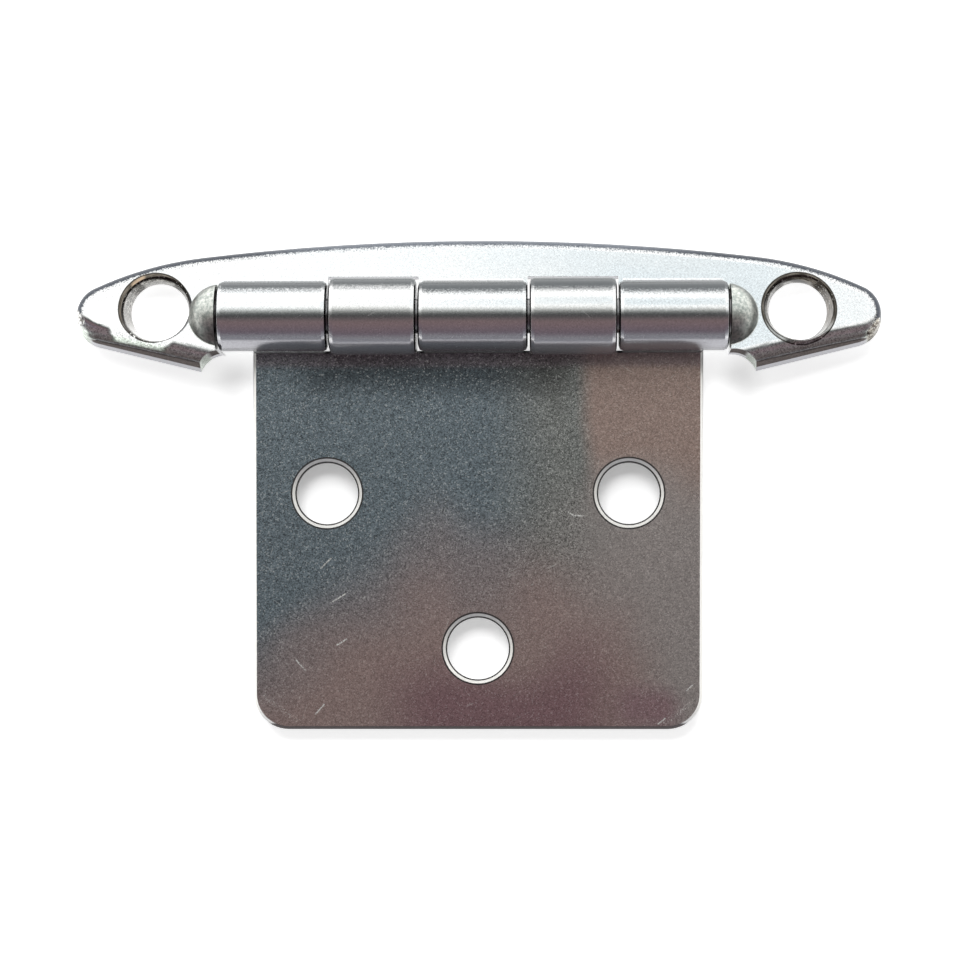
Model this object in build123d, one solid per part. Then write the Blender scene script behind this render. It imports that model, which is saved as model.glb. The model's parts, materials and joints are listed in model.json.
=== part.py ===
from build123d import *
from math import asin, cos, degrees, radians, sin, sqrt, tan
import os

# Self-closing cabinet hinge with a face-mounted frame wing, lying flat on its back.
# Millimetres. X runs along the barrel, +Y points to the frame wing, +Z is the front.
# The origin is midway between the two screw holes of the frame wing, in the plane of its back.

# Hinge pin
pin_diameter = 3.0
pin_clearance = 0.06
pin_insert = 1.0
pin_socket_clearance = 0.25
cam_flat_depth = 0.5

# Sheets
leaf_thickness = 1.8
wing_thickness = 1.44

# Barrel: three knuckles of the wing and two of the door leaf
barrel_drop = 0.7
barrel_shift = -0.4
wing_knuckle_width = 9.4
leaf_knuckle_width = 7.45
knuckle_gap = 0.18
knuckle_edge_radius = 0.4
rim_facets = 2
seam_gap = 0.3
open_curl_end = 235.0

# Frame wing: outline, front and rim. The reaches run outwards from the ends of the barrel,
# and the brow, chin and shoulder are placed inwards from the tips.
tip_reach = 13.09
wing_height = 3.5
front_tilt = 16.0
crown_radius = 75.0
end_fall_length = 10.0
wing_draft = 7.0
wing_edge_radius = 1.2
crest_y = 6.3
shoulder_inset = 11.0
shoulder_y = 4.85
brow_inset = 1.6
brow_y = 2.15
tip_y = -0.6
chin_inset = 2.0
chin_y = -3.0
notch_reach = 2.19
notch_y = -5.15
notch_run = 2.1

# Frame wing: screw holes
wing_hole_reach = 5.79
wing_hole_diameter = 5.1
wing_hole_land = 0.8
wing_sink_diameter = 6.3
wing_sink_floor_diameter = 5.7
wing_sink_depth = 0.5

# Frame wing: domes over the ends of the pin
dome_radius = 2.8
dome_inset = 0.4
dome_gap = 0.17

# Frame wing: windows for the leaf's knuckles, and the studs that hold the spring
window_clearance = 0.2
knuckle_root_radius = 0.45
stud_diameter = 1.0
stud_head_diameter = 1.5
stud_head_height = 0.35
stud_spacing = 22.0

# Door leaf
plate_width = 38.9
plate_low_width = 38.4
plate_reach = 35.4
plate_corner_radius = 3.0
plate_edge_bevel = 0.25
plate_clearance = 0.18
plate_hole_diameter = 5.3
plate_hole_bevel = 0.35
plate_sink_diameter = 7.0
plate_pair_spacing = 26.0
plate_pair_reach = 15.15
plate_low_reach = 28.5

# Closing spring
spring_room = 1.36
spring_thickness = 0.5
spring_length = 27.0
spring_bar_width = 1.5
spring_tongue_width = 6.0
spring_pad_length = 1.3
spring_bend_radius = 0.8
spring_bend_setback = 0.27
spring_gap = 0.02
spring_hole_clearance = 0.05

# Places and radii that follow from the sizes above
pin_radius = pin_diameter / 2
leaf_knuckle_radius = pin_radius + leaf_thickness
wing_bore_radius = pin_radius + pin_clearance
wing_knuckle_radius = wing_bore_radius + wing_thickness
axis_y = -barrel_drop
axis_z = leaf_knuckle_radius
barrel_length = 3 * wing_knuckle_width + 2 * leaf_knuckle_width + 4 * knuckle_gap
barrel_start = barrel_shift - barrel_length / 2
barrel_end = barrel_shift + barrel_length / 2
wing_half = barrel_length / 2 + tip_reach
wing_hole_x = barrel_length / 2 + wing_hole_reach
shoulder_x = wing_half - shoulder_inset
brow_x = wing_half - brow_inset
chin_x = wing_half - chin_inset
notch_x = barrel_length / 2 + notch_reach
strip_low_y = axis_y + sqrt(wing_knuckle_radius**2 - (axis_z - spring_room) ** 2)
window_y = axis_y + leaf_knuckle_radius + window_clearance
plate_top_y = axis_y - sqrt((wing_knuckle_radius + plate_clearance) ** 2 - (axis_z - leaf_thickness) ** 2)
crown_y = -crown_radius * sin(radians(front_tilt))
crown_z = wing_height - crown_radius * cos(radians(front_tilt))
end_fall_x = wing_half - end_fall_length

# How far a cutting shape runs past what it cuts, and a height above everything here
overrun = 1.0
tall = 4 * leaf_knuckle_radius


def knuckle_start(number):
    """Left end of a knuckle: even numbers belong to the wing, odd ones to the door leaf."""
    wing_before = (number + 1) // 2
    leaf_before = number // 2
    widths = wing_before * wing_knuckle_width + leaf_before * leaf_knuckle_width
    return barrel_start + widths + number * knuckle_gap


def polar(radius, angle):
    """A point of the barrel's cross-section, by its angle from +Y towards +Z."""
    return (radius * cos(radians(angle)), radius * sin(radians(angle)))


def along_barrel(profile, start, width):
    """A profile drawn in Y and Z about the barrel axis, run along X."""
    return Pos(start, axis_y, axis_z) * extrude(Plane.YZ * profile, width)


def block(x_span, y_span, z_span):
    """A box by its limits on each axis."""
    size = [high - low for low, high in (x_span, y_span, z_span)]
    middle = [(low + high) / 2 for low, high in (x_span, y_span, z_span)]
    return Pos(*middle) * Box(*size)


def curled_sleeve(start, width, outer, bore, gap_from, gap_to):
    """A knuckle rolled from sheet: a sleeve with rounded rims, open between two angles."""
    turns = [90 * step / rim_facets for step in range(rim_facets + 1)]
    rim = [polar(knuckle_edge_radius, angle) for angle in turns]
    shoulder = outer - knuckle_edge_radius
    right = [(width - knuckle_edge_radius + x, shoulder + y) for x, y in rim]
    left = [(knuckle_edge_radius - x, shoulder + y) for x, y in reversed(rim)]
    section = make_face(Polyline((0, bore), (width, bore), *right, *left, close=True))
    sleeve = Pos(start, axis_y, axis_z) * revolve(section, Axis.X)
    reach = 2 * outer
    middle = (gap_from + gap_to) / 2
    corners = [(0, 0), polar(reach, gap_from), polar(reach, middle), polar(reach, gap_to)]
    return sleeve - along_barrel(make_face(Polyline(*corners, close=True)), start, width)


def front_z(y):
    """Height of the wing's crowned front along its straight middle."""
    return crown_z + sqrt(crown_radius**2 - (y - crown_y) ** 2)


def under_front(depth=0):
    """A bar with ball ends, whose skin is the wing's front or a surface at some depth behind it.
    So the front leans towards +Y, is crowned across, and falls away at both ends."""
    radius = crown_radius - depth
    top = Line((-end_fall_x, radius), (end_fall_x, radius))
    halfway = polar(radius, 45)
    right = ThreePointArc(top @ 1, (end_fall_x + halfway[0], halfway[1]), (end_fall_x + radius, 0))
    left = ThreePointArc(top @ 0, (-end_fall_x - halfway[0], halfway[1]), (-end_fall_x - radius, 0))
    profile = make_face([top, right, left, Line(left @ 1, right @ 1)])
    return Pos(0, crown_y, crown_z) * revolve(profile, Axis.X)


def wing_outline():
    """Canoe outline of the wing: long top arc, round tips, straight lower edges."""
    top = ThreePointArc((-shoulder_x, shoulder_y), (0, crest_y), (shoulder_x, shoulder_y))
    edges = [top]
    lower_ends = []
    for side in (1, -1):
        leaving = top % 1 if side == 1 else -(top % 0)
        brow = TangentArc((side * shoulder_x, shoulder_y), (side * brow_x, brow_y), tangent=leaving)
        tip = TangentArc(brow @ 1, (side * wing_half, tip_y), tangent=brow % 1)
        chin = TangentArc(tip @ 1, (side * chin_x, chin_y), tangent=tip % 1)
        lower = Line(chin @ 1, (side * notch_x, notch_y))
        edges += [brow, tip, chin, lower]
        lower_ends.append(lower @ 1)
    edges.append(Line(*lower_ends))
    return make_face(edges)


def wing_blank():
    """The wing before trimming and piercing: drafted rim, crowned front, rounded front edge."""
    foot = wing_outline()
    top_z = front_z(notch_y) + overrun
    top = Pos(0, 0, top_z) * offset(foot, -top_z * tan(radians(wing_draft)), kind=Kind.INTERSECTION)
    blank = loft([foot, top], ruled=True) & under_front()
    front_faces = blank.faces().filter_by(lambda face: face.normal_at().Z > 0.8)
    seams = [edge for face in front_faces for edge in face.edges()]
    outer = ShapeList(edge for edge in seams if sum(edge.is_same(other) for other in seams) == 1)
    closing_y = notch_y + wing_edge_radius
    rim = outer.filter_by(lambda edge: edge.center().Y > closing_y)
    return fillet(rim.sort_by(Axis.Y), wing_edge_radius)


def barrel_notch():
    """What is trimmed off below the wing: the room of the barrel and a scoop beside each dome."""
    low = axis_y - wing_knuckle_radius
    edges = []
    for side in (1, -1):
        foot = barrel_end + dome_gap if side == 1 else barrel_start - dome_gap
        scoop = TangentArc((side * (notch_x - notch_run), low), (side * notch_x, notch_y), tangent=(side, 0))
        edges += [scoop, Line(scoop @ 0, (foot, low)), Line((foot, low), (foot, strip_low_y))]
        edges.append(Line(scoop @ 1, (side * notch_x, notch_y - tall)))
    edges.append(Line((barrel_start - dome_gap, strip_low_y), (barrel_end + dome_gap, strip_low_y)))
    edges.append(Line((-notch_x, notch_y - tall), (notch_x, notch_y - tall)))
    return extrude(make_face(edges), tall)


def wing_pocket():
    """The hollow in the back of the wing, which leaves the sheet, its rim and a cup at each screw hole."""
    inside = offset(wing_outline(), -wing_thickness, kind=Kind.INTERSECTION)
    hollow = extrude(inside, tall) & under_front(wing_thickness)
    hollow -= offset_notch()
    strip_span = (strip_low_y - overrun, window_y + spring_bar_width + window_clearance)
    hollow += block((barrel_start, barrel_end), strip_span, (0, spring_room))
    cup = extrude(Circle(wing_hole_diameter / 2 + wing_thickness), tall)
    for side in (-1, 1):
        hollow -= Pos(side * wing_hole_x, 0, 0) * cup
    return hollow


def offset_notch():
    """The barrel's room widened by the sheet, so that the hollow keeps a wall beside each dome."""
    wall = dome_gap + wing_thickness
    low = notch_y - overrun
    scoop_y = axis_y - wing_knuckle_radius + wing_thickness
    beside_barrel = block((barrel_start - wall, barrel_end + wall), (low, window_y), (0, tall))
    return beside_barrel + block((-notch_x, notch_x), (low, scoop_y), (0, tall))


def wing_screw_hole(side):
    """Round hole that widens towards the front, with a seat cut square to the leaning front."""
    funnel_top = wing_height - wing_sink_depth
    funnel_height = funnel_top - wing_hole_land
    hole = extrude(Circle(wing_hole_diameter / 2), wing_height)
    funnel = Cone(wing_hole_diameter / 2, wing_sink_floor_diameter / 2, funnel_height)
    hole += Pos(0, 0, wing_hole_land + funnel_height / 2) * funnel
    hole += Pos(0, 0, funnel_top) * extrude(Circle(wing_sink_floor_diameter / 2), tall)
    seat = Pos(0, 0, -wing_sink_depth / 2) * Cone(
        wing_sink_floor_diameter / 2, wing_sink_diameter / 2, wing_sink_depth
    )
    seat += extrude(Circle(wing_sink_diameter / 2), tall)
    hole += Pos(0, 0, wing_height) * Rot(-front_tilt, 0, 0) * seat
    return Pos(side * wing_hole_x, 0, 0) * hole


def dome(side):
    """Half ball over one end of the pin: flat towards the barrel, hollow enough for the pin."""
    flat_x = barrel_end + dome_gap if side == 1 else barrel_start - dome_gap
    ball = Pos(flat_x - side * dome_inset, axis_y, axis_z) * Sphere(dome_radius)
    outside = block(sorted((flat_x, flat_x + side * tall)), (-tall, tall), (spring_room, tall))
    return ball & outside


def pin_socket(side):
    """Blind round socket in a dome, with room at the end of the pin."""
    flat_x = barrel_end + dome_gap if side == 1 else barrel_start - dome_gap
    depth = pin_insert + pin_socket_clearance
    start = flat_x if side == 1 else flat_x - depth
    return along_barrel(Circle(wing_bore_radius), start, depth)


def wing_knuckle(number):
    """One knuckle of the wing, rolled over the pin from the front and open or seamed behind."""
    start = knuckle_start(number)
    tab_angle = 360 - degrees(asin((axis_z - spring_room) / wing_knuckle_radius))
    curl_end = open_curl_end if number == 2 else tab_angle - degrees(seam_gap / wing_knuckle_radius)
    sleeve = curled_sleeve(
        start, wing_knuckle_width, wing_knuckle_radius, wing_bore_radius, curl_end, tab_angle
    )
    return sleeve + knuckle_root(start)


def knuckle_root(start):
    """The hollow sweep from the leaning front of the wing up into a knuckle, drawn upright and then leant."""
    lean = radians(front_tilt)
    rise = front_z(axis_y + wing_knuckle_radius) - axis_z
    front = rise * cos(lean) + wing_knuckle_radius * sin(lean)
    centre_v = front + knuckle_root_radius
    centre_u = sqrt((wing_knuckle_radius + knuckle_root_radius) ** 2 - centre_v**2)
    top = centre_v * wing_knuckle_radius / (wing_knuckle_radius + knuckle_root_radius)
    low = front - wing_thickness / 2
    inner = wing_bore_radius
    web = make_face(Polyline((inner, low), (centre_u, low), (centre_u, top), (inner, top), close=True))
    web -= Pos(centre_u, centre_v) * Circle(knuckle_root_radius)
    width = wing_knuckle_width - 2 * knuckle_edge_radius
    return along_barrel(Rot(0, 0, -front_tilt) * web, start + knuckle_edge_radius, width)


def spring_studs():
    """Two studs raised in the hollow back, with their ends spread over the spring."""
    spring_back = spring_room - spring_thickness
    stud = Pos(0, 0, spring_back) * extrude(Circle(stud_diameter / 2), spring_thickness)
    head = Cone(stud_head_diameter / 2, stud_diameter / 2, stud_head_height)
    stud += Pos(0, 0, spring_back - stud_head_height / 2) * head
    return [Pos(x, spring_y(), 0) * stud for x in stud_places()]


def stud_places():
    """The studs stand either side of the middle knuckle."""
    middle = knuckle_start(2) + wing_knuckle_width / 2
    return [middle - stud_spacing / 2, middle + stud_spacing / 2]


def spring_y():
    """Centre line of the spring's bar, just clear of the windows."""
    return window_y + spring_bar_width / 2


def frame_wing():
    """The whole stamped wing, with its three knuckles and two domes."""
    wing = wing_blank() - barrel_notch() - wing_pocket()
    for number in (1, 3):
        start = knuckle_start(number) - knuckle_gap
        room = (start, start + leaf_knuckle_width + 2 * knuckle_gap)
        wing -= block(room, (notch_y, window_y), (0, tall))
    for number in (0, 2, 4):
        wing += wing_knuckle(number)
    for side in (-1, 1):
        wing = wing + dome(side) - pin_socket(side) - wing_screw_hole(side)
    for stud in spring_studs():
        wing += stud
    return wing


def leaf_knuckle(number):
    """One knuckle of the door leaf, rolled under the pin and back over it to the plate's front."""
    start = knuckle_start(number)
    strap_angle = 180 + degrees(asin(pin_radius / leaf_knuckle_radius))
    curl_end = strap_angle - degrees(seam_gap / leaf_knuckle_radius)
    sleeve = curled_sleeve(
        start, leaf_knuckle_width, leaf_knuckle_radius, pin_radius, curl_end, strap_angle
    )
    strap = block(
        (start, start + leaf_knuckle_width),
        (plate_top_y - 2 * plate_edge_bevel, axis_y),
        (0, leaf_thickness),
    )
    return sleeve + strap


def plate_screw_hole():
    """Clearance hole with a light bevel in front and a seat for the screw's head behind."""
    radius = plate_hole_diameter / 2
    seat_depth = plate_sink_diameter / 2 - radius
    hole = extrude(Circle(radius), leaf_thickness)
    bevel = Cone(radius, radius + plate_hole_bevel, plate_hole_bevel)
    hole += Pos(0, 0, leaf_thickness - plate_hole_bevel / 2) * bevel
    seat = Cone(plate_sink_diameter / 2, radius, seat_depth)
    return hole + Pos(0, 0, seat_depth / 2) * seat


def plate_hole_places():
    """Two holes side by side and one below, measured from the barrel axis."""
    pair_y = axis_y - plate_pair_reach
    half = plate_pair_spacing / 2
    return [(-half, pair_y), (half, pair_y), (0, axis_y - plate_low_reach)]


def plate_blank():
    """The flat of the door leaf, slightly narrower below, with a bevelled front edge."""
    low_y = axis_y - plate_reach
    top_half = plate_width / 2
    low_half = plate_low_width / 2
    corners = [(-low_half, low_y), (low_half, low_y), (top_half, plate_top_y), (-top_half, plate_top_y)]
    plate = extrude(make_face(Polyline(*corners, close=True)), leaf_thickness)
    uprights = plate.edges().filter_by(Axis.Z).sort_by(Axis.Y)
    plate = fillet(uprights[:2], plate_corner_radius)
    return chamfer(plate.faces().sort_by(Axis.Z)[-1].edges(), plate_edge_bevel)


def door_leaf():
    """The flat plate with its two knuckles and three screw holes."""
    leaf = plate_blank()
    for number in (1, 3):
        leaf += leaf_knuckle(number)
    hole = plate_screw_hole()
    for place in plate_hole_places():
        leaf -= Pos(*place, 0) * hole
    return leaf


def hinge_pin():
    """Round pin with a cam flat facing back under the middle knuckle."""
    start = barrel_start - dome_gap - pin_insert
    length = barrel_length + 2 * (dome_gap + pin_insert)
    pin = along_barrel(Circle(pin_radius), start, length)
    flat_z = axis_z - pin_radius + cam_flat_depth
    middle = (knuckle_start(2), knuckle_start(2) + wing_knuckle_width)
    return pin - block(middle, (-tall, tall), (0, flat_z))


def closing_spring():
    """Leaf spring: a bar held by the studs, with a tongue that rises to the pin's cam flat."""
    middle = knuckle_start(2) + wing_knuckle_width / 2
    bar_z = spring_room - spring_thickness / 2
    bar_y = spring_y()
    bar = Pos(middle, bar_y, bar_z) * Box(spring_length, spring_bar_width, spring_thickness)
    pad_z = axis_z - pin_radius + cam_flat_depth - spring_gap - spring_thickness / 2
    bend = (strip_low_y - axis_y - spring_bend_setback, bar_z - axis_z)
    pad = (spring_pad_length / 2, pad_z - axis_z)
    path = FilletPolyline(
        (bar_y - axis_y, bar_z - axis_z), bend, pad, (-pad[0], pad[1]), radius=spring_bend_radius
    )
    start = middle - spring_tongue_width / 2
    spring = bar + along_barrel(trace(path, spring_thickness), start, spring_tongue_width)
    hole = extrude(Circle(stud_diameter / 2 + spring_hole_clearance), spring_room)
    for x in stud_places():
        spring -= Pos(x, bar_y, 0) * hole
    return spring


parts = {
    "frame_wing": frame_wing(),
    "door_leaf": door_leaf(),
    "hinge_pin": hinge_pin(),
    "closing_spring": closing_spring(),
}

os.makedirs("parts", exist_ok=True)
for name, solid in parts.items():
    export_step(solid, f"parts/{name}.step")
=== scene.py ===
# %% [markdown]
# A self-closing cabinet hinge, dressed for its portrait.
#
# The hinge is four pieces of steel: a canoe-shaped wing that is screwed to the cabinet's frame, a flat
# leaf that is screwed to the back of the door, the pin that joins them and a leaf spring behind the wing.
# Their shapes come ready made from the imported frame, in metres, lying where they belong.
# What is left for this file is how they look: plating, grain, scratches and wear, and a small photo studio.
# The frame is loaded first, because everything else is measured from it.

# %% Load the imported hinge
import json
import math
import bmesh
import bpy
from mathutils import Matrix, Vector


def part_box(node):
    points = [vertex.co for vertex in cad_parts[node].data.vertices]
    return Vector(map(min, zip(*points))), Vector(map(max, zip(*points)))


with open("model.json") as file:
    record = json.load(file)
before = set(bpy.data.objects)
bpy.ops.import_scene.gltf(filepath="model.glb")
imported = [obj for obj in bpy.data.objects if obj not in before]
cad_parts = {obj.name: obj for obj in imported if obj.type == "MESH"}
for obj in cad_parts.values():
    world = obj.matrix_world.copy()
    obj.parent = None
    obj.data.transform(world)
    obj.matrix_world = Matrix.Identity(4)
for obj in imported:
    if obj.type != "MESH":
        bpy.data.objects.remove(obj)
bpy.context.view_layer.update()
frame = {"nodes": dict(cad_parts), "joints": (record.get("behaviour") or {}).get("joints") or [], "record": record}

MM = 0.001
nodes = frame["nodes"]
print("pieces of the hinge:", ", ".join(sorted(nodes)))

# %% [markdown]
# A few sizes are read from the frame and not typed again: the screw holes are mounts in its record, and the
# barrel's axis is the joint that the door swings on. Materials can then place wear and tool marks by them.
# The frame doesn't say where the barrel's five knuckles end, so their half length and middle are set here.

# %% Sizes that the finishes need
mounts = {mount["name"]: mount for mount in frame["record"]["mounts"]}
axis_y = frame["joints"][0]["pos_m"][1] / MM
axis_z = frame["joints"][0]["pos_m"][2] / MM
barrel_half = 21.9
barrel_middle = -0.4
wing_hole_x = mounts["frame_screws"]["dims"]["spacing_x_mm"] / 2
wing_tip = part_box("frame_wing")[0][0] / MM
leaf_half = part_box("door_leaf")[1][0] / MM
leaf_hole_r = mounts["door_screws"]["dims"]["hole_r_mm"]
leaf_hole_x = mounts["door_screws"]["dims"]["spacing_x_mm"] / 2
leaf_hole_y = mounts["door_screws"]["pos_m"][1] / MM
low_hole_y = mounts["door_screw_low"]["pos_m"][1] / MM
print("barrel axis at y, z =", axis_y, axis_z, "mm; wing holes at x = +-", wing_hole_x, "mm")

# %% [markdown]
# A shader is a small circuit of nodes. These helpers keep the wiring short. The first plugs a value or a
# wire into a socket, the second adds a node with its inputs plugged in, and the rest do one piece of
# arithmetic each.

# %% Helpers: nodes and arithmetic
def plug(tree, value, socket):
    """Wires a socket to another one, or sets it to a plain value."""
    if isinstance(value, bpy.types.NodeSocket):
        tree.links.new(value, socket)
    else:
        socket.default_value = value


def add(tree, kind, inputs=None, **settings):
    """A new node with its settings made and its inputs plugged in."""
    made = tree.nodes.new(kind)
    for name, value in settings.items():
        setattr(made, name, value)
    for name, value in (inputs or {}).items():
        plug(tree, value, made.inputs[name])
    return made


def math_step(tree, operation, first, second=0.0):
    """One math node between two values."""
    return add(tree, "ShaderNodeMath", {0: first, 1: second}, operation=operation).outputs[0]


def in_turn(tree, operation, values):
    """The same math step from value to value."""
    result = values[0]
    for value in values[1:]:
        result = math_step(tree, operation, result, value)
    return result


def plus(tree, *values):
    """Values added up."""
    return in_turn(tree, "ADD", values)


def minus(tree, first, second):
    """The first value less the second."""
    return math_step(tree, "SUBTRACT", first, second)


def times(tree, *values):
    """Values multiplied."""
    return in_turn(tree, "MULTIPLY", values)


def distance_from(tree, value, mark):
    """How far a value is from a mark, on either side of it."""
    return math_step(tree, "ABSOLUTE", minus(tree, value, mark))


def point(tree, x, y, z=0.0):
    """A place from its three values."""
    return add(tree, "ShaderNodeCombineXYZ", {"X": x, "Y": y, "Z": z}).outputs[0]


def vector_step(tree, operation, first, second=(0.0, 0.0, 0.0)):
    """One vector math node between two vectors: returns its outputs, Vector and Value."""
    return add(tree, "ShaderNodeVectorMath", {0: first, 1: second}, operation=operation).outputs


def apart(tree, first, second):
    """The distance between two places."""
    return vector_step(tree, "DISTANCE", first, second)["Value"]


def dot(tree, first, second):
    """The dot product of two directions: one for unit vectors that agree."""
    return vector_step(tree, "DOT_PRODUCT", first, second)["Value"]


# %% [markdown]
# A mask is a value that is one where a finish belongs and nothing elsewhere. Most masks here are a soft ramp
# over a place or over the way the surface leans. Masks are joined, turned round, and used to blend two
# colours. A noise runs from nothing to one about a half, so a helper shifts it to go up and down about
# nothing.

# %% Helpers: masks, noises and colours
def all_of(tree, *masks):
    """Where every mask holds: their product."""
    return times(tree, *masks)


def any_of(tree, *masks):
    """Where at least one mask holds: the largest of them."""
    return in_turn(tree, "MAXIMUM", masks)


def not_in(tree, mask):
    """Everywhere else."""
    return minus(tree, 1.0, mask)


def fade(tree, value, start, end):
    """Nothing at start, one at end, and a smooth ramp between them."""
    inputs = {"Value": value, "From Min": start, "From Max": end}
    return add(tree, "ShaderNodeMapRange", inputs, interpolation_type="SMOOTHSTEP").outputs["Result"]


def between(tree, share, low, high):
    """Low where the share is nothing, high where it is one, and in proportion between them."""
    return add(tree, "ShaderNodeMapRange", {"Value": share, "To Min": low, "To Max": high}).outputs["Result"]


def noise(tree, place, scale, detail, roughness=0.5):
    """A cloudy noise over a place."""
    inputs = {"Vector": place, "Scale": scale, "Detail": detail, "Roughness": roughness}
    return add(tree, "ShaderNodeTexNoise", inputs).outputs["Fac"]


def drawn_out(tree, place, degrees, scale, location=(0.0, 0.0, 0.0)):
    """A place turned round Z and scaled, so that a noise over it is drawn out along one direction."""
    inputs = {"Vector": place, "Location": location, "Scale": scale}
    inputs["Rotation"] = (0.0, 0.0, math.radians(degrees))
    return add(tree, "ShaderNodeMapping", inputs, vector_type="TEXTURE").outputs[0]


def sway(tree, noise_value, width):
    """A noise made to go up and down about nothing, by half of the width each way."""
    return times(tree, minus(tree, noise_value, 0.5), width)


def blend(tree, share, first, second):
    """A colour between two others."""
    mixed = add(tree, "ShaderNodeMix", data_type="RGBA")
    sockets = {socket.identifier: socket for socket in mixed.inputs}
    for name, value in (("Factor_Float", share), ("A_Color", first), ("B_Color", second)):
        plug(tree, value, sockets[name])
    return next(socket for socket in mixed.outputs if socket.identifier == "Result_Color")


def paint(tree, colour, *coats):
    """A colour with coats laid over it in turn, each given by its mask and its own colour."""
    for mask, coat in coats:
        colour = blend(tree, mask, colour, coat)
    return colour


def shade(tree, colour, factor):
    """A colour made lighter or darker by a factor."""
    return add(tree, "ShaderNodeVectorMath", {0: colour, "Scale": factor}, operation="SCALE").outputs[0]


# %% [markdown]
# A node group is a circuit with named sockets that can be placed in many materials, like a stamp. One helper
# starts a group and the other places it with its own values.

# %% Helpers: node groups
FLOAT, VECTOR = "NodeSocketFloat", "NodeSocketVector"


def new_group(name, inputs, outputs):
    """An empty node group with its named sockets: returns its tree, its inputs and its outputs."""
    tree = bpy.data.node_groups.new(name, "ShaderNodeTree")
    for socket, kind, value in inputs:
        made = tree.interface.new_socket(socket, in_out="INPUT", socket_type=kind)
        if value is not None:
            made.default_value = value
    for socket, kind in outputs:
        tree.interface.new_socket(socket, in_out="OUTPUT", socket_type=kind)
    return tree, tree.nodes.new("NodeGroupInput").outputs, tree.nodes.new("NodeGroupOutput").inputs


def place_group(tree, group, inputs=None):
    """A group placed in a material, with its own values: returns its outputs."""
    made = tree.nodes.new("ShaderNodeGroup")
    made.node_tree = group
    for name, value in (inputs or {}).items():
        plug(tree, value, made.inputs[name])
    return made.outputs


# %% [markdown]
# Every finish on this hinge depends on where it is: the grain is a tenth of a millimetre, and the wear sits
# at the tips and rims. Object coordinates travel with a piece when the door swings, so the marks stay put.
# This group turns them into millimetres once, so that the numbers below read like a workshop drawing. Aside is the
# distance from the hinge's middle line, for what is the same left and right. The group also gives the way the
# surface leans, which tells a front from a steep flank, where shade is painted.

# %% Group: place in millimetres
millimetres, _, ends = new_group(
    "place in millimetres",
    [],
    [("Place", VECTOR)] + [(name, FLOAT) for name in ("X", "Y", "Z", "Aside", "Lean X", "Lean Y", "Lean Z")],
)
coordinates = add(millimetres, "ShaderNodeTexCoord").outputs
scaled = shade(millimetres, coordinates["Object"], 1 / MM)
split = add(millimetres, "ShaderNodeSeparateXYZ", {0: scaled}).outputs
leaning = add(millimetres, "ShaderNodeSeparateXYZ", {0: coordinates["Normal"]}).outputs
millimetres.links.new(scaled, ends["Place"])
millimetres.links.new(math_step(millimetres, "ABSOLUTE", split["X"]), ends["Aside"])
for letter in "XYZ":
    millimetres.links.new(split[letter], ends[letter])
    millimetres.links.new(leaning[letter], ends["Lean " + letter])
print("group made:", millimetres.name)

# %% [markdown]
# Plated sheet is not a mirror. Under the nickel or zinc the rolled steel has a fine pebbly grain, about a
# tenth of a millimetre across, and it breaks every edge of a reflection into specks. It could be an image of
# noise, but a procedural noise has no seams and no resolution. One noise makes the pebbles, and two more
# that are drawn out along crossing diagonals make the weave that the rolls leave. The plating itself grows
# in tiny crystals: each cell of a Voronoi texture gets a tone of its own, and the rare brightest cells are
# specks that glint. A slow noise gives the drift that clouds and stains need.

# %% Group: plating grain
grain, starts, ends = new_group(
    "plating grain",
    [("Place", VECTOR, None), ("Grains per mm", FLOAT, 7.0)],
    [("Height", FLOAT), ("Weave", FLOAT), ("Grit", FLOAT), ("Speck", FLOAT), ("Drift", FLOAT)],
)
pebbles = noise(grain, starts["Place"], starts["Grains per mm"], 2.0, 0.65)
threads = [
    noise(grain, drawn_out(grain, starts["Place"], turn, (1.9, 0.8, 1.0)), starts["Grains per mm"], 1.0)
    for turn in (45.0, -45.0)
]
crystals = add(grain, "ShaderNodeTexVoronoi", {"Vector": starts["Place"], "Scale": starts["Grains per mm"]})
grit = add(grain, "ShaderNodeSeparateColor", {0: crystals.outputs["Color"]}).outputs[0]
parts = {
    "Height": pebbles,
    "Weave": times(grain, plus(grain, *threads), 0.5),
    "Grit": grit,
    "Speck": fade(grain, grit, 0.93, 0.96),
    "Drift": noise(grain, starts["Place"], 0.13, 0.5),
}
for name, value in parts.items():
    grain.links.new(value, ends[name])
print("group made:", grain.name, "with", ", ".join(parts))

# %% [markdown]
# Handling leaves hairlines: short, straight, thin scratches in every direction. A noise that is squeezed in
# one direction and drawn out in the other gives long thin cells, and the middle value of the noise runs along
# them as a line. A second, slow noise keeps only short stretches. Three turned copies give three directions.

# %% Group: hairline scratches
hairlines, starts, ends = new_group(
    "hairline scratches",
    [("Place", VECTOR, None), ("Spread", FLOAT, 0.6)],
    [("Mask", FLOAT)],
)
hair_sets = []
for turn, shift in ((24.0, 3.1), (71.0, 17.7), (142.0, 41.3)):
    turned = drawn_out(hairlines, starts["Place"], turn, (6.2, 0.38, 3.3), (shift, shift / 2, 0.0))
    line = fade(hairlines, distance_from(hairlines, noise(hairlines, turned, 1.0, 1.0), 0.5), 0.008, 0.002)
    inputs = {"Vector": turned, "Scale": 2.3, "Detail": 0.0, "W": shift}
    stretch = add(hairlines, "ShaderNodeTexNoise", inputs, noise_dimensions="4D").outputs["Fac"]
    hair_sets.append(all_of(hairlines, line, fade(hairlines, stretch, starts["Spread"], 0.75)))
hairlines.links.new(any_of(hairlines, *hair_sets), ends["Mask"])
print("group made:", hairlines.name, "in", len(hair_sets), "directions")

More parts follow.
